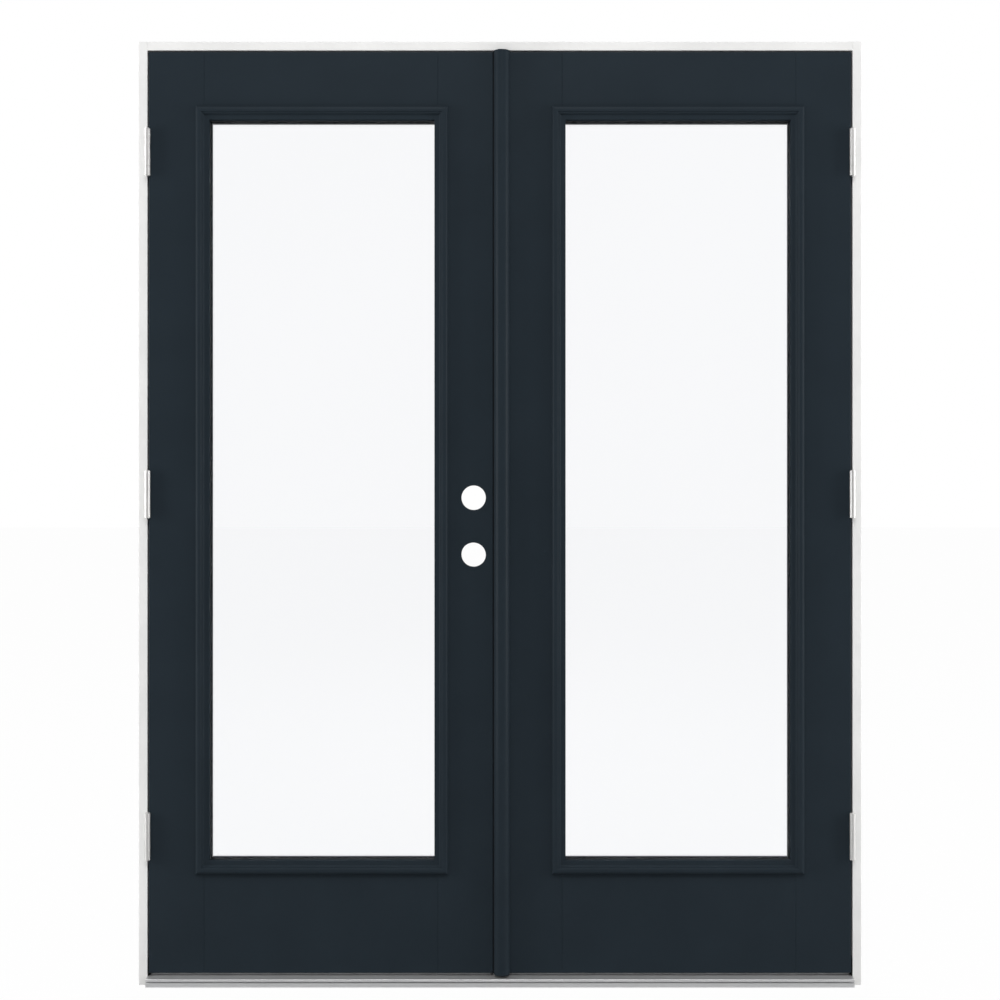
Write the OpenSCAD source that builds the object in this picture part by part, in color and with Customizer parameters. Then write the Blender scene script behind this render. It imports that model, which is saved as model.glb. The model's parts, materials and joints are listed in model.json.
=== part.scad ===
// Pair of full-lite french doors hung in their frame, with a sill, butt hinges and an astragal.
// Millimetres. X runs along the wall, Y from the outside face inward, Z up.
// The origin is under the middle of the sill, in the plane of the outside faces of the leaves.
// The active leaf, with the lock bores, is on the left. The passive leaf carries the astragal.

/* [Frame] */
// Width of the frame over both side jambs
frame_w = 1577; // [1300:1:1900]
// Height of the frame from the floor to the top of the head
frame_h = 2058; // [1950:1:2400]
// Depth of the jambs through the wall
jamb_depth = 116; // [100:1:180]
// Thickness of the jambs and the head beside the leaves
jamb_t = 19; // [18:0.5:30]
// How far the door stop stands in from the rabbet
stop_t = 12.5; // [12:0.5:20]
// Space for the weatherstrip between a shut leaf and the stop
seal_space = 5.5; // [4:0.5:8]
// Rounding of the jambs' visible edges
jamb_round = 1.5; // [0.5:0.25:3]
// Width of the kerf that holds a weatherstrip
kerf_w = 3; // [2.5:0.25:4]
// Depth of the kerf in the stop
kerf_depth = 8; // [6:0.5:12]

/* [Sill] */
// How far the sill stands out in front of the jambs
sill_nose = 20; // [12:0.5:40]
// Height of the deck at the nose
nose_h = 17.5; // [16:0.5:19]
// How much the deck climbs from the nose to the dam
deck_rise = 4.5; // [3:0.5:5]
// Height of the dam behind the leaves
dam_h = 42; // [40:0.5:48]
// Wall of the aluminium deck
sill_wall = 2; // [1.5:0.25:3]
// Height of the groove in the nose
groove_z = 9.5; // [8:0.1:12]
// Width of the groove in the nose
groove_w = 2.8; // [1:0.1:3]

/* [Leaves] */
// Thickness of a leaf
leaf_t = 44.5; // [40:0.5:50]
// Height of the bottom of the leaves over the floor
leaf_bottom = 25.5; // [25:0.5:30]
// Gap between a leaf and its jamb
hinge_gap = 3; // [2:0.25:4]
// Gap between the leaves and the head
head_gap = 3; // [2:0.25:5]
// Space between the two lock edges, which the astragal fills
meeting_space = 29; // [26:0.5:40]
// How far the active lock edge falls back from front to back
lock_bevel = 2.3; // [2:0.1:3]
// Width of the stiles
stile_w = 121; // [118:1:135]
// Rounding of the leaves' outer edges
edge_round = 2.5; // [1:0.25:4]
// Width of the fine V along each joint of stile and rail
joint_v = 0.9; // [0.4:0.1:1.5]

/* [Glazing] */
// From the hinge edge of a leaf to the lite frame
hinge_margin = 102; // [95:1:110]
// From the lite frame to the lock edge of a leaf
lock_margin = 98; // [92:1:105]
// From the bottom of a leaf to the lite frame
lite_rise = 216; // [150:1:240]
// From the lite frame to the top of a leaf
lite_drop = 118.5; // [90:0.5:200]
// Width of the lite frame's moulding
moulding_w = 30.5; // [29:0.5:40]
// How far the moulding stands out from the leaf
moulding_proud = 10.4; // [9:0.2:14]
// How far the moulding's flat band beside the glass stands out from the leaf
band_proud = 4; // [3:0.2:5]
// How far the moulding laps over the leaf
leaf_lap = 13; // [11:0.5:14]
// How far the moulding laps over the glass
glass_bite = 8; // [6:0.5:8]
// Thickness of each pane
pane_t = 3.2; // [3:0.1:5]
// Space between the two panes
pane_space = 12.6; // [8:0.2:14]
// Thickness of the glazing tape
tape_t = 1.5; // [1:0.1:3]
// Screws down each side of a lite frame
side_screws = 5; // [3:1:8]
// Screws across the top and the bottom of a lite frame
end_screws = 2; // [2:1:4]

/* [Hinges] */
// Height of a hinge
hinge_h = 102; // [90:1:115]
// Diameter of the barrel
barrel_d = 12.4; // [11:0.1:13]
// Diameter of the pin
pin_d = 6.4; // [5.5:0.1:7]
// Thickness of a hinge plate
plate_t = 2.5; // [2:0.1:3]
// How far a plate reaches into the frame
plate_reach = 38; // [34:0.5:40]
// From the top of a leaf to the middle of its upper hinge
hinge_drop = 220; // [120:1:300]
// From the bottom of a leaf to the middle of its lower hinge
hinge_foot = 299.5; // [120:0.5:350]
// Length of a hinge screw
screw_len = 16; // [12:0.5:18]

/* [Lock bores] */
// From the lock edge to the middle of the lock bores
lock_backset = 43.5; // [42:0.5:60]
// Diameter of the lock bores
lock_d = 54; // [50:0.1:55]
// Height of the upper lock bore over the floor
lock_z = 1063; // [1000:1:1100]
// From one lock bore to the other
lock_pitch = 125; // [120:1:145]
// Diameter of the latch bores in the lock edge
latch_d = 25.4; // [22:0.1:26]

/* [Astragal] */
// How far the astragal's moulding laps over the passive leaf
astragal_lap = 6.7; // [5:0.1:12]
// Gap between the moulding and the active leaf
astragal_reveal = 1.3; // [1.3:0.1:1.8]
// Gap between the astragal's body and the active leaf
astragal_gap = 3; // [3:0.1:4]
// Gap between the top of the astragal and the head
astragal_top_gap = 1.4; // [1:0.1:3]
// Height of the astragal's foot over the floor
astragal_bottom = 24.3; // [24:0.1:26]
// Thickness of the boot under the astragal
boot_t = 1.8; // [1:0.1:2]
// Screws along the astragal
astragal_screws_n = 6; // [4:1:9]
// Diameter of a flush bolt
bolt_d = 9; // [8:0.1:11]
// How far a flush bolt is thrown
bolt_throw = 18; // [14:0.5:18]
// Length of a flush bolt
bolt_len = 200; // [150:1:260]

/* [Hidden] */
$fn = 48;
SIDES = ["left", "right"];
LEAVES = ["active", "passive"];
PLACES = ["upper", "middle", "lower"];
LEAF_PIECES = ["hinge_stile", "lock_stile", "top_rail", "bottom_rail", "front_lite_frame",
    "back_lite_frame", "front_pane", "pane_spacer", "back_pane", "glazing_tape", "lite_screws",
    "sweep", "upper_door_plate", "middle_door_plate", "lower_door_plate", "hinge_screws"];

// Colours
white_paint = "#eceae6";
dark_paint = "#262d33";
satin_metal = "#bfc0c0";
mill_aluminium = "#b4b6b8";
grey_vinyl = "#6f7174";
black_rubber = "#1b1c1e";
clear_glass = "#dfe8ea";
grey_composite = "#8d8a84";

// Clearances
soft_clear = 0.3;
pin_clear = 0.05;
slide_clear = 0.3;
screw_clear = 0.05;
knuckle_clear = 0.3;
mortise_clear = 0.2;
glass_clear = 0.5;
eps = 0.01;

// Frame, from its driving sizes
rabbet_x = frame_w / 2 - jamb_t;
rabbet_z = frame_h - jamb_t;
stop_y = leaf_t + seal_space;
kerf_inset = 3;
frame_screw_reach = 22;

// Sill
groove_d = 7;
nose_round = 1.5;
dam_round = 1;
core_front = groove_d + sill_wall;
seal_slot_z = dam_h - 7;
seal_slot_t = 2.5;
seal_slot_d = 7;
core_dam_y = stop_y + seal_slot_d + sill_wall;

// Leaves
leaf_top = rabbet_z - head_gap;
leaf_x0 = -rabbet_x + hinge_gap;
leaf_x1 = -meeting_space / 2;

// Glazing
lite_x0 = leaf_x0 + hinge_margin;
lite_w = leaf_x1 - lock_margin - lite_x0;
lite_z0 = leaf_bottom + lite_rise;
lite_h = leaf_top - lite_drop - lite_z0;
glass_t = 2 * pane_t + pane_space;
glass_y = (leaf_t - glass_t) / 2;
glass_w = lite_w - 2 * (moulding_w - glass_bite);
glass_h = lite_h - 2 * (moulding_w - glass_bite);
leg_out = leaf_lap + soft_clear;
leg_in = moulding_w - glass_bite - glass_clear;
screw_u = (leg_out + leg_in) / 2;
lite_screw_r = 1.75;
lite_head_r = 3.4;
lite_head_h = 2.4;
lite_head_y = leaf_t + 1;
lite_bite_len = 12;
fillet_w = 1.4;
fillet_h = 3.2;
ovolo_r = moulding_proud - fillet_h - 0.2;
riser_w = 2.2;
tread_u = 15;
tread_w = 2.2;
tread_drop = 2.4;
cove_w = 3;
band_u = tread_u + tread_w + cove_w;
band_fall = 0.4;
fine_steps = 8;

// Hinges
hinge_pitch = (leaf_top - hinge_drop - leaf_bottom - hinge_foot) / 2;
axis_x = -rabbet_x + hinge_gap / 2;
axis_y = -barrel_d / 2 - knuckle_clear;
knuckles = 5;
knuckle_len = hinge_h / knuckles;
plate_front = 0.3;
plate_corner = 12;
pin_head_r = 4.6;
pin_head_h = 1.5;
screw_r = 2;
screw_head_r = 4;
hinge_spots = [[12, 0.36], [28, 0.13], [28, -0.13], [12, -0.36]];

// Lock bores
lock_x = leaf_x1 - lock_backset;
lock_heights = [lock_z, lock_z - lock_pitch];

// Astragal
body_x = leaf_x1 + astragal_gap;
moulding_x0 = leaf_x1 + astragal_reveal;
moulding_x1 = -leaf_x1 + astragal_lap;
astragal_r = (moulding_x1 - moulding_x0) / 2;
astragal_mid = (moulding_x1 + moulding_x0) / 2;
astragal_top = rabbet_z - astragal_top_gap;
bolt_x = body_x / 2 - leaf_x1 / 2 + 0.5;
bolt_y = leaf_t / 2 + 2;
bolt_rest = 1;
astragal_screw_y = leaf_t - 8;
thumb_w = 10;
thumb_h = 24;
thumb_from_tip = 150;
thumb_sink = 2;
bulb_y = 4;
bulb_kerf_t = 2.4;
bulb_kerf_d = 5;
strike_wall = 2.4;
latch_pocket_w = 23;
latch_pocket_h = 28;
latch_pocket_d = 14;
strike_hole_r = bolt_d / 2 + 0.8;
bush_bottom = 2;

// Points of an outline whose corners, given as [x, y, radius], are rounded
function rounded(corners, steps = 4) = [
    for (i = [0:len(corners) - 1])
        let (
            here = corners[i],
            before = corners[(i + len(corners) - 1) % len(corners)],
            after = corners[(i + 1) % len(corners)],
            p = [here[0], here[1]],
            to_before = [before[0], before[1]] - p,
            to_after = [after[0], after[1]] - p,
            u = to_before / norm(to_before),
            v = to_after / norm(to_after),
            half = acos(u * v) / 2,
            radius = here[2]
        )
        each radius == 0 ? [p] : fillet_points(p, u, v, half, radius, steps)
];

// Points of the arc that rounds corner p between its two edges
function fillet_points(p, u, v, half, radius, steps) =
    let (
        centre = p + (u + v) / norm(u + v) * radius / sin(half),
        first = p + u * radius / tan(half) - centre,
        last = p + v * radius / tan(half) - centre,
        start = atan2(first[1], first[0]),
        turn = atan2(last[1], last[0]) - start,
        sweep = turn > 180 ? turn - 360 : turn < -180 ? turn + 360 : turn
    )
    [for (k = [0:steps]) centre + radius * [cos(start + sweep * k / steps), sin(start + sweep * k / steps)]];

// An outline of [y, z] points, extruded along X from x0 to x1
module prism_x(outline, x0, x1) {
    translate([x0, 0, 0])
        rotate([90, 0, 90])
            linear_extrude(x1 - x0)
                polygon(outline);
}

// An outline of [x, z] points, extruded along Y from y0 to y1
module prism_y(outline, y0, y1) {
    translate([0, y1, 0])
        rotate([90, 0, 0])
            linear_extrude(y1 - y0)
                polygon(outline);
}

// An outline of [x, y] points, extruded along Z from z0 to z1
module prism_z(outline, z0, z1) {
    translate([0, 0, z0])
        linear_extrude(z1 - z0)
            polygon(outline);
}

// A box between two opposite corners
module box(low, high) {
    translate(low)
        cube(high - low);
}

// A rod along X from x0 to x1
module rod_x(r, x0, x1) {
    translate([x0, 0, 0])
        rotate([0, 90, 0])
            cylinder(r = r, h = x1 - x0);
}

// A rod along Y from y0 to y1
module rod_y(r, y0, y1) {
    translate([0, y1, 0])
        rotate([90, 0, 0])
            cylinder(r = r, h = y1 - y0);
}

// What is drawn for the left side, mirrored for the right one
module on_side(side) {
    if (side == "left" || side == "active") {
        children();
    } else {
        mirror([1, 0, 0])
            children();
    }
}

function hinge_z(place) = leaf_top - hinge_drop - hinge_pitch * search([place], PLACES)[0];
function deck_z(y) = nose_h + deck_rise * (y + sill_nose) / (stop_y + sill_nose);

// Frame

module hinge_mortise(x0, x1) {
    corner = plate_corner + mortise_clear;
    outline = rounded([
        [-barrel_d, -hinge_h / 2 - mortise_clear, 0],
        [plate_reach + mortise_clear, -hinge_h / 2 - mortise_clear, corner],
        [plate_reach + mortise_clear, hinge_h / 2 + mortise_clear, corner],
        [-barrel_d, hinge_h / 2 + mortise_clear, 0]
    ], fine_steps);
    for (place = PLACES)
        translate([0, 0, hinge_z(place)])
            prism_x(outline, x0, x1);
}

module at_hinge_screws() {
    for (place = PLACES)
        for (spot = hinge_spots)
            translate([0, spot[0], hinge_z(place) + spot[1] * hinge_h])
                children();
}

module side_jamb(side) {
    board = rounded([
        [-frame_w / 2, 0, jamb_round],
        [-rabbet_x, 0, jamb_round],
        [-rabbet_x, jamb_depth, 0],
        [-frame_w / 2, jamb_depth, 0]
    ]);
    stop = rounded([
        [-rabbet_x - jamb_t / 2, stop_y, 0],
        [-rabbet_x + stop_t, stop_y, dam_round],
        [-rabbet_x + stop_t, jamb_depth, jamb_round],
        [-rabbet_x - jamb_t / 2, jamb_depth, 0]
    ]);
    color(white_paint)
        on_side(side)
            difference() {
                union() {
                    prism_z(board, 0, frame_h);
                    prism_z(stop, dam_h, rabbet_z - stop_t);
                }
                box([-rabbet_x + kerf_inset, stop_y - eps, dam_h - eps],
                    [-rabbet_x + kerf_inset + kerf_w, stop_y + kerf_depth, frame_h]);
                hinge_mortise(-rabbet_x - plate_t, -rabbet_x + eps);
                at_hinge_screws()
                    rod_x(screw_r + screw_clear, -rabbet_x - screw_len, -rabbet_x);
                at_frame_screws()
                    rod_x(screw_r + screw_clear, -frame_w / 2 - eps, -rabbet_x + eps);
                at_frame_screws()
                    rod_x(screw_head_r + screw_clear, -frame_w / 2 - eps, -frame_w / 2 + screw_head_r);
            }
}

// Fixing points through a side jamb into the end of the head and of the sill
module at_frame_screws() {
    head_z = rabbet_z + jamb_t / 2;
    sill_z = nose_h / 2;
    for (y = [jamb_depth * 0.2, jamb_depth * 0.8])
        for (z = [sill_z, head_z])
            translate([0, y, z])
                children();
}

module frame_screws() {
    color(satin_metal)
        for (side = SIDES)
            on_side(side)
                at_frame_screws() {
                    rod_x(screw_r, -frame_w / 2 + screw_head_r / 2, -rabbet_x + frame_screw_reach);
                    rod_x(screw_head_r, -frame_w / 2 + screw_head_r / 2, -frame_w / 2 + screw_head_r);
                }
}

module frame_screw_pilots() {
    for (side = SIDES)
        on_side(side)
            at_frame_screws()
                rod_x(screw_r + screw_clear, -rabbet_x - eps, -rabbet_x + frame_screw_reach + soft_clear);
}

module head_jamb() {
    outline = rounded([
        [0, rabbet_z, jamb_round],
        [0, frame_h, jamb_round],
        [jamb_depth, frame_h, 0],
        [jamb_depth, rabbet_z - stop_t, jamb_round],
        [stop_y, rabbet_z - stop_t, dam_round],
        [stop_y, rabbet_z, 0]
    ]);
    kerf_top = rabbet_z - kerf_inset;
    color(white_paint)
        difference() {
            prism_x(outline, -rabbet_x, rabbet_x);
            box([-rabbet_x - eps, stop_y - eps, kerf_top - kerf_w],
                [rabbet_x + eps, stop_y + kerf_depth, kerf_top]);
            head_strike_plate(mortise_clear);
            translate([bolt_x, bolt_y, rabbet_z - eps])
                cylinder(r = strike_hole_r, h = bolt_throw);
            frame_screw_pilots();
        }
}

module head_strike_plate(clear) {
    plate_w = 54;
    plate_d = 22;
    plate_h = 1.5;
    box([bolt_x - plate_w / 2 - clear, bolt_y - plate_d / 2 - clear, rabbet_z - (clear > 0 ? eps : 0)],
        [bolt_x + plate_w / 2 + clear, bolt_y + plate_d / 2 + clear, rabbet_z + plate_h]);
}

module head_bolt_strike() {
    color(satin_metal)
        difference() {
            head_strike_plate(0);
            translate([bolt_x, bolt_y, rabbet_z - 1])
                cylinder(r = strike_hole_r, h = bolt_throw);
        }
}

function core_outline() = [
    [-sill_nose + core_front, 0],
    [-sill_nose + core_front, deck_z(-sill_nose + core_front) - sill_wall],
    [stop_y + sill_wall, deck_z(stop_y + sill_wall) - sill_wall],
    [stop_y + sill_wall, seal_slot_z - sill_wall],
    [core_dam_y, seal_slot_z - sill_wall],
    [core_dam_y, dam_h - sill_wall],
    [jamb_depth - sill_wall, dam_h - sill_wall],
    [jamb_depth - sill_wall, 0]
];

module sill_cuts() {
    box([-rabbet_x - eps, stop_y - eps, seal_slot_z],
        [rabbet_x + eps, stop_y + seal_slot_d, seal_slot_z + seal_slot_t]);
    translate([bolt_x, bolt_y, bush_bottom])
        cylinder(r = strike_hole_r + strike_wall, h = dam_h);
    frame_screw_pilots();
}

module sill_base() {
    color(grey_composite)
        difference() {
            prism_x(core_outline(), -rabbet_x, rabbet_x);
            sill_cuts();
        }
}

module sill_deck() {
    outline = rounded([
        [-sill_nose, 0, 0.8],
        [-sill_nose, groove_z, 0],
        [-sill_nose + groove_d, groove_z, 0],
        [-sill_nose + groove_d, groove_z + groove_w, 0],
        [-sill_nose, groove_z + groove_w, 0],
        [-sill_nose, nose_h, nose_round],
        [stop_y, deck_z(stop_y), 1.5],
        [stop_y, dam_h, dam_round],
        [jamb_depth, dam_h, dam_round],
        [jamb_depth, 0, 0]
    ]);
    color(mill_aluminium)
        difference() {
            prism_x(outline, -rabbet_x, rabbet_x);
            prism_x(core_outline(), -rabbet_x - 1, rabbet_x + 1);
            sill_cuts();
        }
}

module sill_bolt_strike() {
    color(satin_metal)
        translate([bolt_x, bolt_y, bush_bottom])
            difference() {
                cylinder(r = strike_hole_r + strike_wall, h = deck_z(bolt_y) - bush_bottom);
                translate([0, 0, -1])
                    cylinder(r = strike_hole_r, h = dam_h);
            }
}

// Section of a bulb seal: along its face, and out from the stop, with its barb in the kerf
function seal_outline(reach) = rounded([
    [0.8, 0, 0],
    [0.8, reach, 2.2],
    [11, reach, 2.2],
    [11, 0, 0],
    [kerf_inset + kerf_w - soft_clear, 0, 0],
    [kerf_inset + kerf_w - soft_clear, -kerf_depth + 1, 0],
    [kerf_inset + soft_clear, -kerf_depth + 1, 0],
    [kerf_inset + soft_clear, 0, 0]
]);

module side_weatherstrip(side) {
    section = [for (p = seal_outline(seal_space - soft_clear)) [-rabbet_x + p[0], stop_y - p[1]]];
    color(black_rubber)
        on_side(side)
            prism_z(section, dam_h, rabbet_z - stop_t);
}

module head_weatherstrip() {
    section = [for (p = seal_outline(seal_space - soft_clear)) [stop_y - p[1], rabbet_z - p[0]]];
    color(black_rubber)
        prism_x(section, -rabbet_x, rabbet_x);
}

module sill_seal() {
    barb = seal_slot_d - 1;
    barb_t = seal_slot_t - 0.5;
    low = seal_slot_z - 3;
    high = seal_slot_z + 5;
    reach = stop_y - leaf_t - soft_clear;
    section = rounded([
        [stop_y, low, 0],
        [stop_y - reach, low, 2],
        [stop_y - reach, high, 2],
        [stop_y, high, 0],
        [stop_y, seal_slot_z + barb_t, 0],
        [stop_y + barb, seal_slot_z + barb_t, 0],
        [stop_y + barb, seal_slot_z, 0],
        [stop_y, seal_slot_z, 0]
    ]);
    color(black_rubber)
        prism_x(section, -rabbet_x, rabbet_x);
}

module corner_pads() {
    pad_top = 62;
    front = 2;
    back = leaf_t - 1;
    section = rounded([
        [front, deck_z(front), 0],
        [back, deck_z(back), 0],
        [back, pad_top, 4],
        [front, pad_top, 12]
    ]);
    color(black_rubber)
        for (side = SIDES)
            on_side(side)
                prism_x(section, -rabbet_x, leaf_x0 - soft_clear * 2);
}

// Hinges

// Drawn round the left hinge axis: own knuckles are numbered from the bottom
module hinge_plate(own, face_x, back_x) {
    low_x = min(face_x, back_x);
    high_x = max(face_x, back_x);
    outline = rounded([
        [plate_front, -hinge_h / 2, 0],
        [plate_reach, -hinge_h / 2, plate_corner],
        [plate_reach, hinge_h / 2, plate_corner],
        [plate_front, hinge_h / 2, 0]
    ], fine_steps);
    difference() {
        union() {
            prism_x(outline, low_x, high_x);
            for (k = own) {
                low = -hinge_h / 2 + k * knuckle_len + knuckle_clear / 2;
                high = low + knuckle_len - knuckle_clear;
                translate([axis_x, axis_y, low])
                    cylinder(d = barrel_d, h = high - low);
                box([low_x, axis_y, low], [high_x, plate_front + 1, high]);
            }
        }
        translate([axis_x, axis_y, -hinge_h])
            cylinder(d = pin_d + 2 * pin_clear, h = 2 * hinge_h);
        for (spot = hinge_spots)
            translate([0, spot[0], spot[1] * hinge_h])
                hinge_screw(face_x, back_x, screw_clear);
    }
}

// A countersunk screw whose head is flush with face_x and whose shank runs past back_x
module hinge_screw(face_x, back_x, clear) {
    way = back_x > face_x ? 1 : -1;
    translate([face_x, 0, 0])
        rotate([0, way * 90, 0]) {
            translate([0, 0, -clear])
                cylinder(r1 = screw_head_r + clear, r2 = screw_r + clear, h = plate_t - 0.3 + clear);
            cylinder(r = screw_r + clear, h = screw_len - screw_clear);
        }
}

module frame_plate(side, place) {
    color(satin_metal)
        on_side(side)
            translate([0, 0, hinge_z(place)])
                hinge_plate([0, 2, 4], -rabbet_x, -rabbet_x - plate_t);
}

module door_plate(leaf, place) {
    color(satin_metal)
        on_side(leaf)
            translate([0, 0, hinge_z(place)])
                hinge_plate([1, 3], leaf_x0, leaf_x0 + plate_t);
}

module frame_hinge_screws() {
    color(satin_metal)
        for (side = SIDES)
            on_side(side)
                at_hinge_screws()
                    hinge_screw(-rabbet_x, -rabbet_x - plate_t, 0);
}

module leaf_hinge_screws(leaf) {
    color(satin_metal)
        on_side(leaf)
            at_hinge_screws()
                hinge_screw(leaf_x0, leaf_x0 + plate_t, 0);
}

module hinge_pins(side) {
    section = [
        [0, -hinge_h / 2 - pin_head_h],
        [pin_head_r - 1, -hinge_h / 2 - pin_head_h],
        [pin_head_r, -hinge_h / 2 - pin_head_h + 1],
        [pin_head_r, -hinge_h / 2],
        [pin_d / 2, -hinge_h / 2],
        [pin_d / 2, hinge_h / 2],
        [pin_head_r, hinge_h / 2],
        [pin_head_r, hinge_h / 2 + pin_head_h - 1],
        [pin_head_r - 1, hinge_h / 2 + pin_head_h],
        [0, hinge_h / 2 + pin_head_h]
    ];
    color(satin_metal)
        on_side(side)
            for (place = PLACES)
                translate([axis_x, axis_y, hinge_z(place)])
                    rotate_extrude()
                        polygon(section);
}

// Leaves

// The whole slab of a leaf, with rounded edges and the opening for its glazing
module leaf_blank(leaf) {
    back_x = leaf == "active" ? leaf_x1 - lock_bevel : leaf_x1;
    plan = rounded([
        [leaf_x0, 0, edge_round],
        [leaf_x1, 0, edge_round],
        [back_x, leaf_t, edge_round],
        [leaf_x0, leaf_t, edge_round]
    ]);
    section = rounded([
        [0, leaf_bottom, edge_round],
        [leaf_t, leaf_bottom, edge_round],
        [leaf_t, leaf_top, edge_round],
        [0, leaf_top, edge_round]
    ]);
    difference() {
        intersection() {
            prism_z(plan, leaf_bottom - 1, leaf_top + 1);
            prism_x(section, leaf_x0 - 1, leaf_x1 + 1);
        }
        box([lite_x0 + leaf_lap, -1, lite_z0 + leaf_lap],
            [lite_x0 + lite_w - leaf_lap, leaf_t + 1, lite_z0 + lite_h - leaf_lap]);
    }
}

// The fine V along a joint between stile and rail, on both faces
module joint_groove(x) {
    for (y = [0, leaf_t])
        translate([x, y, leaf_bottom - 1])
            rotate([0, 0, 45])
                translate([-joint_v / 2, -joint_v / 2, 0])
                    cube([joint_v, joint_v, leaf_top]);
}

// The part of a leaf between two heights and two places across
module leaf_member(leaf, x0, x1, z0, z1) {
    difference() {
        intersection() {
            leaf_blank(leaf);
            box([x0, -1, z0], [x1, leaf_t + 1, z1]);
        }
        children();
    }
}

module hinge_stile(leaf) {
    joint = leaf_x0 + stile_w;
    color(dark_paint)
        on_side(leaf)
            leaf_member(leaf, leaf_x0 - 1, joint, 0, frame_h) {
                joint_groove(joint);
                hinge_mortise(leaf_x0 - 1, leaf_x0 + plate_t);
                at_hinge_screws()
                    rod_x(screw_r + screw_clear, leaf_x0, leaf_x0 + screw_len);
            }
}

module lock_stile(leaf) {
    joint = leaf_x1 - stile_w;
    color(dark_paint)
        on_side(leaf)
            leaf_member(leaf, joint, leaf_x1 + 1, 0, frame_h) {
                joint_groove(joint);
                if (leaf == "active")
                    lock_bores();
                else
                    at_astragal_screws()
                        mirror([1, 0, 0])
                            rod_x(screw_r + screw_clear, -leaf_x1 - 1, -leaf_x1 + screw_len);
            }
}

module lock_bores() {
    for (z = lock_heights) {
        translate([lock_x, 0, z])
            rod_y(lock_d / 2, -1, leaf_t + 1);
        translate([0, leaf_t / 2, z])
            rod_x(latch_d / 2, lock_x, leaf_x1 + 1);
    }
}

module rail(leaf, z0, z1) {
    joints = [leaf_x0 + stile_w, leaf_x1 - stile_w];
    color(dark_paint)
        on_side(leaf)
            leaf_member(leaf, joints[0], joints[1], z0, z1)
                for (x = joints)
                    joint_groove(x);
}

module top_rail(leaf) {
    rail(leaf, lite_z0 + lite_h / 2, frame_h);
}

module bottom_rail(leaf) {
    rail(leaf, 0, lite_z0 + lite_h / 2);
}

module sweep(leaf) {
    front = 10;
    fin_t = 1.6;
    fin_pitch = 9;
    fins = 3;
    base_t = 2;
    end_gap = 4;
    back = front + fin_pitch * (fins - 1) + fin_t;
    section = concat(
        [[front, leaf_bottom]],
        [for (k = [0:fins - 1])
            let (y = front + k * fin_pitch)
            each [
                [y, leaf_bottom - base_t],
                [y, deck_z(y + fin_t) + soft_clear],
                [y + fin_t, deck_z(y + fin_t) + soft_clear],
                [y + fin_t, leaf_bottom - base_t]
            ]],
        [[back, leaf_bottom]]);
    color(grey_vinyl)
        on_side(leaf)
            prism_x(section, leaf_x0 + end_gap, leaf_x1 - end_gap);
}

// Glazing

// Section of half a lite frame: in from its outer edge, and out from the leaf
function moulding_outline() = rounded([
    [0, 0, 0],
    [0, fillet_h, 0.9],
    [fillet_w, fillet_h, 0],
    [fillet_w, moulding_proud, ovolo_r],
    [tread_u - riser_w, moulding_proud, 1.4],
    [tread_u, moulding_proud - tread_drop, 0.8],
    [tread_u + tread_w, moulding_proud - tread_drop, 0.8],
    [band_u, band_proud, 2.2],
    [moulding_w, band_proud - band_fall, 1],
    [moulding_w, -glass_y + tape_t, 0],
    [leg_in, -glass_y + tape_t, 0],
    [leg_in, -leaf_t / 2 + glass_clear / 2, 0],
    [leg_out, -leaf_t / 2 + glass_clear / 2, 0],
    [leg_out, 0, 0]
], fine_steps);

// The section of half a lite frame carried round its four mitred corners
module moulding_ring() {
    section = moulding_outline();
    count = len(section);
    corners = [[-1, -1], [1, -1], [1, 1], [-1, 1]];
    points = [
        for (corner = corners)
            for (p = section)
                [
                    lite_x0 + lite_w / 2 + corner[0] * (lite_w / 2 - p[0]),
                    -p[1],
                    lite_z0 + lite_h / 2 + corner[1] * (lite_h / 2 - p[0])
                ]
    ];
    faces = [
        for (side = [0:3])
            for (i = [0:count - 1])
                let (
                    here = side * count,
                    there = (side + 1) % 4 * count,
                    next = (i + 1) % count
                )
                [here + i, here + next, there + next, there + i]
    ];
    polyhedron(points, faces);
}

// Flips what is drawn for the outside face over to the inside face
module on_inside() {
    translate([0, leaf_t, 0])
        mirror([0, 1, 0])
            children();
}

// The clamping screws stand round the lite frame, in its hidden legs
module at_lite_screws() {
    low_z = lite_z0 + screw_u;
    high_z = lite_z0 + lite_h - screw_u;
    low_x = lite_x0 + screw_u;
    high_x = lite_x0 + lite_w - screw_u;
    for (x = [low_x, high_x])
        for (k = [1:side_screws])
            translate([x, 0, low_z + (high_z - low_z) * (k - 0.5) / side_screws])
                children();
    for (z = [low_z, high_z])
        for (k = [1:end_screws])
            translate([low_x + (high_x - low_x) * (k - 0.5) / end_screws, 0, z])
                children();
}

module front_lite_frame(leaf) {
    color(dark_paint)
        on_side(leaf)
            difference() {
                moulding_ring();
                at_lite_screws()
                    rod_y(lite_screw_r + screw_clear, leaf_t / 2 - lite_bite_len, leaf_t / 2);
            }
}

module back_lite_frame(leaf) {
    color(dark_paint)
        on_side(leaf)
            difference() {
                on_inside()
                    moulding_ring();
                at_lite_screws() {
                    rod_y(lite_screw_r + screw_clear, leaf_t / 2 - 1, lite_head_y + 1);
                    rod_y(lite_head_r + screw_clear, lite_head_y, leaf_t + moulding_proud + 1);
                }
            }
}

module lite_screws(leaf) {
    tip_y = leaf_t / 2 - lite_bite_len + 0.5;
    color(satin_metal)
        on_side(leaf)
            at_lite_screws() {
                rod_y(lite_screw_r, tip_y, lite_head_y + 1);
                difference() {
                    rod_y(lite_head_r, lite_head_y, lite_head_y + lite_head_h);
                    rod_y(lite_screw_r * 0.8, lite_head_y + 1, lite_head_y + lite_head_h + 1);
                }
            }
}

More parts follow.
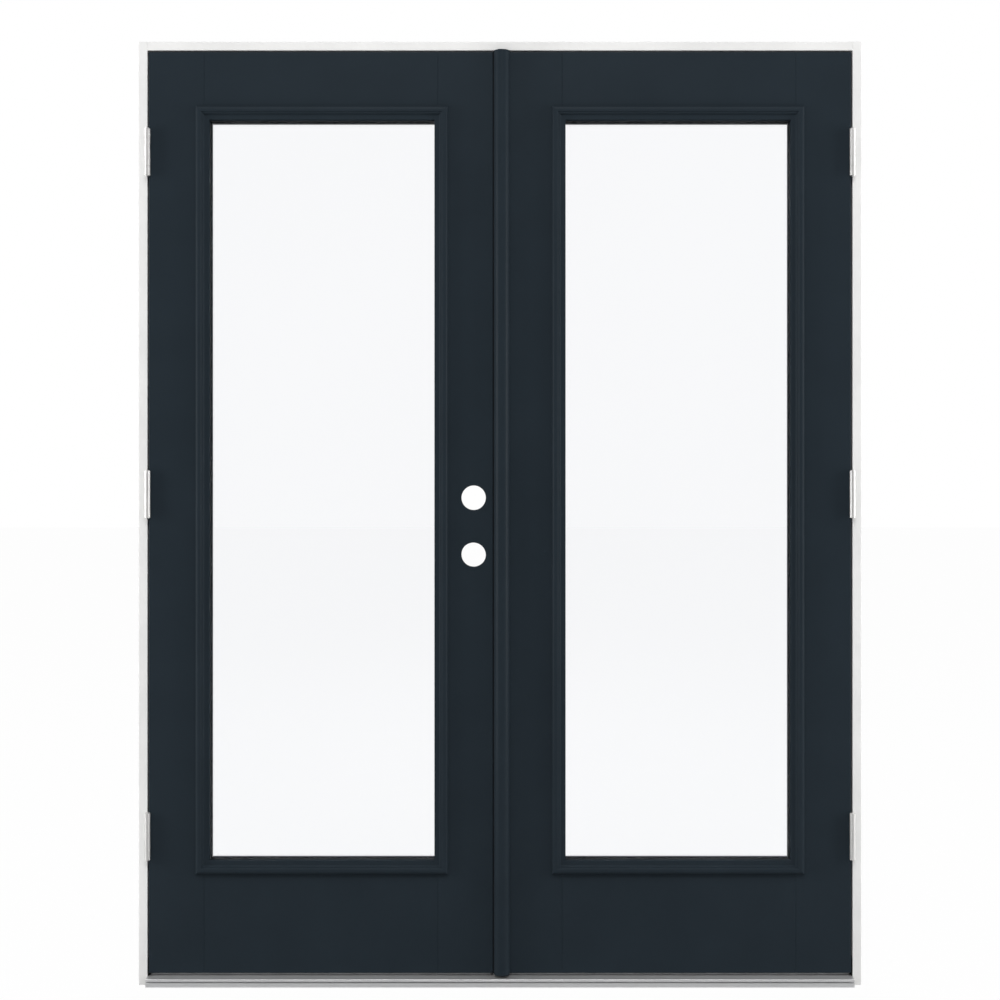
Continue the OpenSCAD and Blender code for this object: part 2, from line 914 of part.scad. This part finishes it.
// A pane, or a ring of the glass unit, between two depths
module glass_sheet(y0, y1, hollow) {
    low = [lite_x0 + moulding_w - glass_bite, lite_z0 + moulding_w - glass_bite];
    difference() {
        box([low[0], y0, low[1]], [low[0] + glass_w, y1, low[1] + glass_h]);
        if (hollow > 0)
            box([low[0] + hollow, y0 - 1, low[1] + hollow],
                [low[0] + glass_w - hollow, y1 + 1, low[1] + glass_h - hollow]);
    }
}

module front_pane(leaf) {
    color(clear_glass, 0.4)
        on_side(leaf)
            glass_sheet(glass_y, glass_y + pane_t, 0);
}

module back_pane(leaf) {
    color(clear_glass, 0.4)
        on_side(leaf)
            glass_sheet(glass_y + pane_t + pane_space, glass_y + glass_t, 0);
}

module pane_spacer(leaf) {
    color(black_rubber)
        on_side(leaf)
            glass_sheet(glass_y + pane_t, glass_y + pane_t + pane_space, glass_bite - 1);
}

module glazing_tape(leaf) {
    color(black_rubber)
        on_side(leaf) {
            glass_sheet(glass_y - tape_t, glass_y, glass_bite - 1);
            glass_sheet(glass_y + glass_t, glass_y + glass_t + tape_t, glass_bite - 1);
        }
}

// Astragal

module at_astragal_screws() {
    span = astragal_top - astragal_bottom;
    for (k = [1:astragal_screws_n])
        translate([0, astragal_screw_y, astragal_bottom + span * (k - 0.5) / astragal_screws_n])
            children();
}

module bolt_slot(tip_z, way) {
    low = min(tip_z, tip_z - way * (bolt_len + 1));
    thumb_a = tip_z - way * (thumb_from_tip - thumb_h / 2 - bolt_throw - 1);
    thumb_b = tip_z - way * (thumb_from_tip + thumb_h / 2 + 1);
    translate([bolt_x, bolt_y, low - (way < 0 ? bolt_rest + 1 : 0)])
        cylinder(r = bolt_d / 2 + slide_clear, h = bolt_len + bolt_rest + 2);
    box([body_x - 1, bolt_y - thumb_w / 2 - 1, min(thumb_a, thumb_b)],
        [bolt_x + slide_clear, bolt_y + thumb_w / 2 + 1, max(thumb_a, thumb_b)]);
}

module astragal() {
    color(dark_paint)
        difference() {
            union() {
                box([body_x, -eps, astragal_bottom], [-leaf_x1, leaf_t, astragal_top]);
                intersection() {
                    translate([astragal_mid, 0, astragal_bottom])
                        cylinder(r = astragal_r, h = astragal_top - astragal_bottom, $fn = 96);
                    box([moulding_x0 - 1, -astragal_r - 1, 0], [moulding_x1 + 1, 0, frame_h]);
                }
            }
            box([body_x - 1, bulb_y, 0], [body_x + bulb_kerf_d, bulb_y + bulb_kerf_t, frame_h]);
            bolt_slot(astragal_top - bolt_rest, 1);
            bolt_slot(astragal_bottom + bolt_rest, -1);
            at_astragal_screws() {
                rod_x(screw_r + screw_clear, body_x - 1, -leaf_x1 + 1);
                rod_x(screw_head_r + screw_clear, body_x - 1, body_x + screw_head_r);
            }
            for (z = lock_heights)
                box([body_x - 1, (leaf_t - latch_pocket_w) / 2, z - latch_pocket_h / 2],
                    [body_x + latch_pocket_d, (leaf_t + latch_pocket_w) / 2, z + latch_pocket_h / 2]);
        }
}

module astragal_seal() {
    tip = leaf_x1 + soft_clear;
    section = rounded([
        [body_x, bulb_y - 2, 0],
        [body_x, bulb_y, 0],
        [body_x + bulb_kerf_d, bulb_y, 0],
        [body_x + bulb_kerf_d, bulb_y + bulb_kerf_t, 0],
        [body_x, bulb_y + bulb_kerf_t, 0],
        [body_x, bulb_y + 5, 0],
        [tip, bulb_y + 5, 1.1],
        [tip, bulb_y - 2, 1.1]
    ]);
    color(black_rubber)
        prism_z(section, astragal_bottom, astragal_top);
}

module astragal_boot() {
    inset = 1.2;
    color(black_rubber)
        difference() {
            union() {
                box([body_x + inset, -eps, astragal_bottom - boot_t],
                    [-leaf_x1 - inset, leaf_t - inset, astragal_bottom]);
                intersection() {
                    translate([astragal_mid, 0, astragal_bottom - boot_t])
                        cylinder(r = astragal_r - inset, h = boot_t);
                    box([moulding_x0, -astragal_r, 0], [moulding_x1, 0, frame_h]);
                }
            }
            translate([bolt_x, bolt_y, 0])
                cylinder(r = bolt_d / 2 + slide_clear, h = frame_h);
        }
}

module astragal_screws() {
    color(satin_metal)
        at_astragal_screws() {
            rod_x(screw_r, body_x + screw_head_r / 2, -leaf_x1 + screw_len - 0.5);
            rod_x(screw_head_r, body_x + screw_head_r / 2, body_x + screw_head_r);
        }
}

// A flush bolt with its thumb piece: way is 1 for the upper one and -1 for the lower one
module flush_bolt(tip_z, way) {
    end_z = tip_z - way * bolt_len;
    thumb_z = tip_z - way * thumb_from_tip;
    color(satin_metal)
        union() {
            translate([bolt_x, bolt_y, min(tip_z, end_z)])
                cylinder(d = bolt_d, h = bolt_len);
            box([body_x + thumb_sink, bolt_y - thumb_w / 2, thumb_z - thumb_h / 2],
                [bolt_x, bolt_y + thumb_w / 2, thumb_z + thumb_h / 2]);
        }
}

module upper_bolt() {
    flush_bolt(astragal_top - bolt_rest, 1);
}

module lower_bolt() {
    flush_bolt(astragal_bottom + bolt_rest, -1);
}

for (side = SIDES) {
    side_jamb(side);
    side_weatherstrip(side);
    hinge_pins(side);
    for (place = PLACES)
        frame_plate(side, place);
}
head_jamb();
sill_base();
sill_deck();
sill_seal();
head_weatherstrip();
corner_pads();
frame_hinge_screws();
frame_screws();
head_bolt_strike();
sill_bolt_strike();
for (leaf = LEAVES) {
    hinge_stile(leaf);
    lock_stile(leaf);
    top_rail(leaf);
    bottom_rail(leaf);
    front_lite_frame(leaf);
    back_lite_frame(leaf);
    front_pane(leaf);
    pane_spacer(leaf);
    back_pane(leaf);
    glazing_tape(leaf);
    lite_screws(leaf);
    sweep(leaf);
    leaf_hinge_screws(leaf);
    for (place = PLACES)
        door_plate(leaf, place);
}
astragal();
astragal_seal();
astragal_boot();
astragal_screws();
upper_bolt();
lower_bolt();
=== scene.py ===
"""Looks of a pair of french doors in their frame: finishes, soft studio light and the camera."""
import json
import math

import bpy
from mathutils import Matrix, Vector


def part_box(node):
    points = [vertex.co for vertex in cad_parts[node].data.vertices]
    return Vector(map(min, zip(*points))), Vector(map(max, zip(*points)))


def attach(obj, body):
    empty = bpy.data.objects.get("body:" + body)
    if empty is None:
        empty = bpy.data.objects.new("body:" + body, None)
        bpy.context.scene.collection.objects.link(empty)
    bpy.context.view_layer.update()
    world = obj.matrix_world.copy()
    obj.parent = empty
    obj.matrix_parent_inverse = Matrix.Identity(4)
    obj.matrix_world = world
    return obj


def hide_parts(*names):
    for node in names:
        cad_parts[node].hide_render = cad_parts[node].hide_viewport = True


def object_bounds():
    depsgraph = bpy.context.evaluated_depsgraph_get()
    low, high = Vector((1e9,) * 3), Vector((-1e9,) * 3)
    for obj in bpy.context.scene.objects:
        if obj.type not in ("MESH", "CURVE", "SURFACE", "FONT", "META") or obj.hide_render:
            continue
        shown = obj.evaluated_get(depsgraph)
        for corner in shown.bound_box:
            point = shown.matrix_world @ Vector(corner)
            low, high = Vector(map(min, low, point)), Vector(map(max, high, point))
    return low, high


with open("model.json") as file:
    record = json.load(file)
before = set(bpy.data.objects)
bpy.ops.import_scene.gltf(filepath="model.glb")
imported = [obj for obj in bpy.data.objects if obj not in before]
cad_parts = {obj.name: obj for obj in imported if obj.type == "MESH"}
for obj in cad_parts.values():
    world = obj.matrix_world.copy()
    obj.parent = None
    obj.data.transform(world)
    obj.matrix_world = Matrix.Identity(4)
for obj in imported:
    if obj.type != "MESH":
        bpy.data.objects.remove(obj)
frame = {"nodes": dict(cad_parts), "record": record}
cad_low, cad_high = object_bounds()
nodes = frame["nodes"]
slot_of_node = {part["node"]: part["material_slot"] for part in frame["record"]["subparts"]}

# Colours of the finishes and the floor, as linear values
WHITE_PAINT = (0.85, 0.85, 0.84)
DARK_PAINT = (0.0186, 0.0270, 0.0350)
SATIN_STEEL = (0.74, 0.735, 0.725)
MILL_ALUMINIUM = (0.74, 0.745, 0.75)
COMPOSITE = (0.26, 0.25, 0.235)
GREY_VINYL = (0.38, 0.38, 0.385)
BLACK_RUBBER = (0.018, 0.019, 0.020)
CLEAR_GLASS = (0.982, 0.985, 0.992)
FLOOR = (0.58, 0.58, 0.58)
OPAQUE = 1.0

# Grain of the metals: how its noise is scaled along X, Y and Z, least along the lines
UPRIGHT_GRAIN = (1, 1, 0.03)
LEVEL_GRAIN = (0.003, 1, 1)

# Camera, level and square to the doors
CAMERA_DISTANCE = 3.6
CAMERA_HEIGHT = 1.058
LENS_MM = 59.4
SENSOR_MM = 36.0

# Lamps, in metres and watts: one overhead in front, one overhead behind and one at each side
OVERHEAD_DISTANCE = 4.2
OVERHEAD_HEIGHT = 5.8
OVERHEAD_SIZE = (3.2, 2.4)
KEY_POWER = 190
BACK_POWER = 220
FILL_DISTANCE = 4.0
FILL_FORWARD = 0.9
FILL_HEIGHT = 1.4
FILL_SIZE = (0.8, 2.6)
FILL_POWER = 80


def shade(colour, factor=1.0):
    """The colour, lighter or darker by a factor, as RGBA."""
    return tuple(min(1.0, part * factor) for part in colour) + (OPAQUE,)


def feed(tree, socket, value):
    """Links another node's output to a socket, or sets a plain number on it."""
    if isinstance(value, bpy.types.NodeSocket):
        tree.links.new(value, socket)
    else:
        socket.default_value = value


def arithmetic(tree, operation, first, second, clamp=False):
    """The result of one operation on two values."""
    node = tree.nodes.new("ShaderNodeMath")
    node.operation = operation
    node.use_clamp = clamp
    feed(tree, node.inputs[0], first)
    feed(tree, node.inputs[1], second)
    return node.outputs["Value"]


def span(tree, value, low, high, start=0.0, end=1.0):
    """Goes from low to high while a value goes from start to end."""
    node = tree.nodes.new("ShaderNodeMapRange")
    node.inputs["From Min"].default_value = start
    node.inputs["From Max"].default_value = end
    node.inputs["To Min"].default_value = low
    node.inputs["To Max"].default_value = high
    tree.links.new(value, node.inputs["Value"])
    return node.outputs["Result"]


def mix(tree, factor, first, second):
    """The first value at a factor of 0, the second at 1."""
    node = tree.nodes.new("ShaderNodeMix")
    feed(tree, node.inputs["Factor"], factor)
    feed(tree, node.inputs["A"], first)
    feed(tree, node.inputs["B"], second)
    return node.outputs["Result"]


class Finish:
    """A material with one Principled shader and short ways to add texture to it."""

    def __init__(self, name):
        self.material = bpy.data.materials.new(name)
        self.material.use_nodes = True
        self.tree = self.material.node_tree
        self.shader = self.tree.nodes["Principled BSDF"]
        self.place = self.tree.nodes.new("ShaderNodeTexCoord")

    def set(self, **values):
        """Sets constants on the shader's own sockets, with their names' blanks as underscores."""
        for name, value in values.items():
            self.shader.inputs[name.replace("_", " ")].default_value = value

    def noise(self, scale, stretch=(1, 1, 1), detail=3.0):
        """A noise in the part's own metres: scale counts its features in a metre."""
        mapping = self.tree.nodes.new("ShaderNodeMapping")
        mapping.inputs["Scale"].default_value = stretch
        texture = self.tree.nodes.new("ShaderNodeTexNoise")
        texture.inputs["Scale"].default_value = scale
        texture.inputs["Detail"].default_value = detail
        self.tree.links.new(self.place.outputs["Object"], mapping.inputs["Vector"])
        self.tree.links.new(mapping.outputs["Vector"], texture.inputs["Vector"])
        return texture.outputs["Fac"]

    def colours(self, value, colour, drift):
        """Colour that wanders by a share of itself, following a value."""
        darkest_at = 0.3
        lightest_at = 0.7
        ramp = self.tree.nodes.new("ShaderNodeValToRGB")
        stops = ramp.color_ramp.elements
        stops[0].position = darkest_at
        stops[1].position = lightest_at
        stops[0].color = shade(colour, 1 - drift)
        stops[1].color = shade(colour, 1 + drift)
        self.tree.links.new(value, ramp.inputs["Fac"])
        self.tree.links.new(ramp.outputs["Color"], self.shader.inputs["Base Color"])

    def roughness(self, value, low, high):
        """Roughness that wanders between two limits, following a value."""
        rough = span(self.tree, value, low, high)
        self.tree.links.new(rough, self.shader.inputs["Roughness"])
        return rough

    def dull_when_glancing(self, rough):
        """Loses the gloss where the surface is seen nearly edge on."""
        steepness = 3.0
        edge = self.tree.nodes.new("ShaderNodeLayerWeight")
        dullness = arithmetic(self.tree, "POWER", edge.outputs["Facing"], steepness)
        total = arithmetic(self.tree, "ADD", dullness, rough, clamp=True)
        self.tree.links.new(total, self.shader.inputs["Roughness"])

    def bump(self, value, height):
        """Fine relief of a height in metres, following a value."""
        relief = self.tree.nodes.new("ShaderNodeBump")
        relief.inputs["Strength"].default_value = 1.0
        relief.inputs["Distance"].default_value = height
        self.tree.links.new(value, relief.inputs["Height"])
        self.tree.links.new(relief.outputs["Normal"], self.shader.inputs["Normal"])


def painted(name, colour, specular, roughness):
    """Sprayed satin paint with a fine orange peel."""
    drift_scale = 7.0
    drift = 0.05
    gloss_scale = 24.0
    smoother = 0.04
    rougher = 0.05
    peel_scale = 420.0
    peel_height = 0.00003
    finish = Finish(name)
    finish.set(Specular_IOR_Level=specular)
    finish.colours(finish.noise(drift_scale, detail=5.0), colour, drift)
    gloss = finish.noise(gloss_scale, detail=4.0)
    rough = finish.roughness(gloss, roughness - smoother, roughness + rougher)
    finish.dull_when_glancing(rough)
    finish.bump(finish.noise(peel_scale, detail=2.0), peel_height)
    return finish.material


def brushed(name, colour, metallic, roughness, grain):
    """Bare or dulled metal with fine lines along one axis."""
    line_scale = 900.0
    line_height = 0.000012
    drift = 0.06
    smoother = 0.06
    rougher = 0.08
    finish = Finish(name)
    finish.set(Metallic=metallic, Anisotropic=0.4)
    lines = finish.noise(line_scale, stretch=grain, detail=4.0)
    finish.colours(lines, colour, drift)
    finish.roughness(lines, roughness - smoother, roughness + rougher)
    finish.bump(lines, line_height)
    return finish.material


def rubbery(name, colour):
    """Matt composite, flexible plastic or rubber."""
    drift_scale = 40.0
    drift = 0.12
    gloss_scale = 160.0
    least_rough = 0.6
    most_rough = 0.8
    pore_scale = 700.0
    pore_height = 0.00004
    finish = Finish(name)
    finish.set(Specular_IOR_Level=0.12)
    finish.colours(finish.noise(drift_scale, detail=4.0), colour, drift)
    finish.roughness(finish.noise(gloss_scale), least_rough, most_rough)
    finish.bump(finish.noise(pore_scale, detail=2.0), pore_height)
    return finish.material


def glazed(name, colour):
    """Clear float glass."""
    drift_scale = 1.5
    drift = 0.002
    finish = Finish(name)
    finish.set(Transmission_Weight=1.0, Roughness=0.0, IOR=1.5)
    finish.colours(finish.noise(drift_scale, detail=1.0), colour, drift)
    return finish.material


finishes = {
    "white_paint": painted("white_paint", WHITE_PAINT, specular=0.35, roughness=0.42),
    "dark_paint": painted("dark_paint", DARK_PAINT, specular=0.06, roughness=0.38),
    "dark_moulding": painted("dark_moulding", DARK_PAINT, specular=0.06, roughness=0.40),
    "satin_steel": brushed(
        "satin_steel", SATIN_STEEL, metallic=1.0, roughness=0.48, grain=UPRIGHT_GRAIN),
    "mill_aluminium": brushed(
        "mill_aluminium", MILL_ALUMINIUM, metallic=0.75, roughness=0.42, grain=LEVEL_GRAIN),
    "composite": rubbery("composite", COMPOSITE),
    "grey_vinyl": rubbery("grey_vinyl", GREY_VINYL),
    "black_rubber": rubbery("black_rubber", BLACK_RUBBER),
    "black_spacer": rubbery("black_spacer", BLACK_RUBBER),
    "clear_glass": glazed("clear_glass", CLEAR_GLASS),
}


def dress(name, piece):
    """Gives a solid the finish that its material slot names."""
    slot = slot_of_node[name]
    piece.data.materials.clear()
    piece.data.materials.append(finishes[slot])


for node_name, node_piece in nodes.items():
    dress(node_name, node_piece)


def arc(centre, radius, start, end, steps=8):
    """Points of a round stretch, with its angles in degrees."""
    turns = [math.radians(start + (end - start) * k / steps) for k in range(steps + 1)]
    return [(centre[0] + radius * math.cos(turn), centre[1] + radius * math.sin(turn)) for turn in turns]


def bar(name, outline, low_z, high_z):
    """A closed upright bar, with its outline given counter-clockwise."""
    sharp_angle = math.radians(35)
    count = len(outline)
    corners = [(x, y, z) for z in (low_z, high_z) for x, y in outline]
    sides = [(i, (i + 1) % count, (i + 1) % count + count, i + count) for i in range(count)]
    ends = [tuple(reversed(range(count))), tuple(range(count, 2 * count))]
    mesh = bpy.data.meshes.new(name)
    mesh.from_pydata(corners, [], sides + ends)
    mesh.shade_smooth()
    mesh.set_sharp_from_angle(angle=sharp_angle)
    piece = bpy.data.objects.new(name, mesh)
    bpy.context.scene.collection.objects.link(piece)
    return piece


def lay_meeting_bulb():
    """The astragal's soft bulb, pressed shut against the edge of the active leaf."""
    press = 0.00005
    corner = 0.0016
    bulb_depth = 0.0027
    barb_low = 0.002
    barb_high = 0.0044
    low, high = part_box("astragal_seal")
    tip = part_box("active_lock_stile")[1].x - press
    root = low.x + bulb_depth
    outline = [(root, high.y)]
    outline += arc((tip + corner, high.y - corner), corner, 90, 180)
    outline += arc((tip + corner, low.y + corner), corner, 180, 270)
    outline += [(root, low.y), (root, low.y + barb_low), (high.x, low.y + barb_low)]
    outline += [(high.x, low.y + barb_high), (root, low.y + barb_high)]
    bulb = bar("meeting_bulb", outline, low.z, high.z)
    bulb.data.materials.append(finishes["black_rubber"])
    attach(bulb, "passive_leaf")
    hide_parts("astragal_seal")


lay_meeting_bulb()


def make_camera():
    """A level camera in front of the middle of the doors."""
    lens = bpy.data.cameras.new("camera")
    lens.lens = LENS_MM
    lens.sensor_width = SENSOR_MM
    camera = bpy.data.objects.new("camera", lens)
    camera.location = (0.0, -CAMERA_DISTANCE, CAMERA_HEIGHT)
    camera.rotation_euler = (math.radians(90), 0.0, 0.0)
    bpy.context.scene.collection.objects.link(camera)
    bpy.context.scene.camera = camera


def light_path(tree):
    """Two marks of a ray: straight from the camera or through glass, and mirrored by a gloss."""
    path = tree.nodes.new("ShaderNodeLightPath")
    direct = arithmetic(tree, "MAXIMUM", path.outputs["Is Camera Ray"], path.outputs["Is Transmission Ray"])
    return direct, path.outputs["Is Glossy Ray"]


def make_world():
    """White behind the doors, and a dimmer studio in front of them."""
    white = 1.0
    ambient = 0.32
    front_low = 0.20
    front_high = 0.30
    # Slopes and headings where the tones change, as parts of a unit direction
    slope_low = -0.4
    slope_high = 0.5
    front_ends = -0.15
    back_starts = 0.25
    world = bpy.data.worlds.new("studio")
    world.use_nodes = True
    bpy.context.scene.world = world
    tree = world.node_tree
    background = tree.nodes["Background"]
    background.inputs["Color"].default_value = shade((white, white, white))
    place = tree.nodes.new("ShaderNodeTexCoord")
    direction = tree.nodes.new("ShaderNodeSeparateXYZ")
    tree.links.new(place.outputs["Generated"], direction.inputs["Vector"])
    front = span(tree, direction.outputs["Z"], front_low, front_high, slope_low, slope_high)
    behind = span(tree, direction.outputs["Y"], 0.0, 1.0, front_ends, back_starts)
    direct, glossy = light_path(tree)
    mirrored = mix(tree, behind, front, white)
    lit = mix(tree, glossy, ambient, mirrored)
    shown = mix(tree, direct, lit, white)
    tree.links.new(shown, background.inputs["Strength"])


def make_floor():
    """A pale floor that shows white, with a small share of the doors' soft shadow on it."""
    half = 60.0
    shadow_share = 0.02
    mesh = bpy.data.meshes.new("floor")
    corners = [(-half, -half, 0), (half, -half, 0), (half, half, 0), (-half, half, 0)]
    mesh.from_pydata(corners, [], [(0, 1, 2, 3)])
    floor = bpy.data.objects.new("floor", mesh)
    bpy.context.scene.collection.objects.link(floor)
    finish = Finish("pale_floor")
    finish.set(Base_Color=shade(FLOOR), Roughness=0.9, Specular_IOR_Level=0.0)
    tree = finish.tree
    glow = tree.nodes.new("ShaderNodeEmission")
    direct, _ = light_path(tree)
    share = arithmetic(tree, "MULTIPLY", direct, 1 - shadow_share)
    blend = tree.nodes.new("ShaderNodeMixShader")
    tree.links.new(share, blend.inputs["Fac"])
    tree.links.new(finish.shader.outputs["BSDF"], blend.inputs[1])
    tree.links.new(glow.outputs["Emission"], blend.inputs[2])
    tree.links.new(blend.outputs["Shader"], tree.nodes["Material Output"].inputs["Surface"])
    mesh.materials.append(finish.material)


def softbox(name, place, size, power, mirrored=True):
    """A rectangular lamp aimed at the middle of the doors, which gloss mirrors or not."""
    lamp = bpy.data.lights.new(name, "AREA")
    lamp.shape = "RECTANGLE"
    lamp.size = size[0]
    lamp.size_y = size[1]
    lamp.energy = power
    holder = bpy.data.objects.new(name, lamp)
    holder.visible_glossy = mirrored
    holder.location = place
    aim = (cad_low + cad_high) / 2 - Vector(place)
    holder.rotation_euler = aim.to_track_quat("-Z", "Y").to_euler()
    bpy.context.scene.collection.objects.link(holder)


def make_lamps():
    """The key in front, a light behind for the inside faces, and a fill at each side."""
    key_place = (0.0, -OVERHEAD_DISTANCE, OVERHEAD_HEIGHT)
    back_place = (0.0, OVERHEAD_DISTANCE, OVERHEAD_HEIGHT)
    softbox("key", key_place, OVERHEAD_SIZE, KEY_POWER)
    softbox("back_light", back_place, OVERHEAD_SIZE, BACK_POWER, mirrored=False)
    for name, side in (("left_fill", -1), ("right_fill", 1)):
        fill_place = (side * FILL_DISTANCE, -FILL_FORWARD, FILL_HEIGHT)
        softbox(name, fill_place, FILL_SIZE, FILL_POWER)


make_camera()
make_world()
make_floor()
make_lamps()
bpy.context.scene.view_settings.view_transform = "Standard"
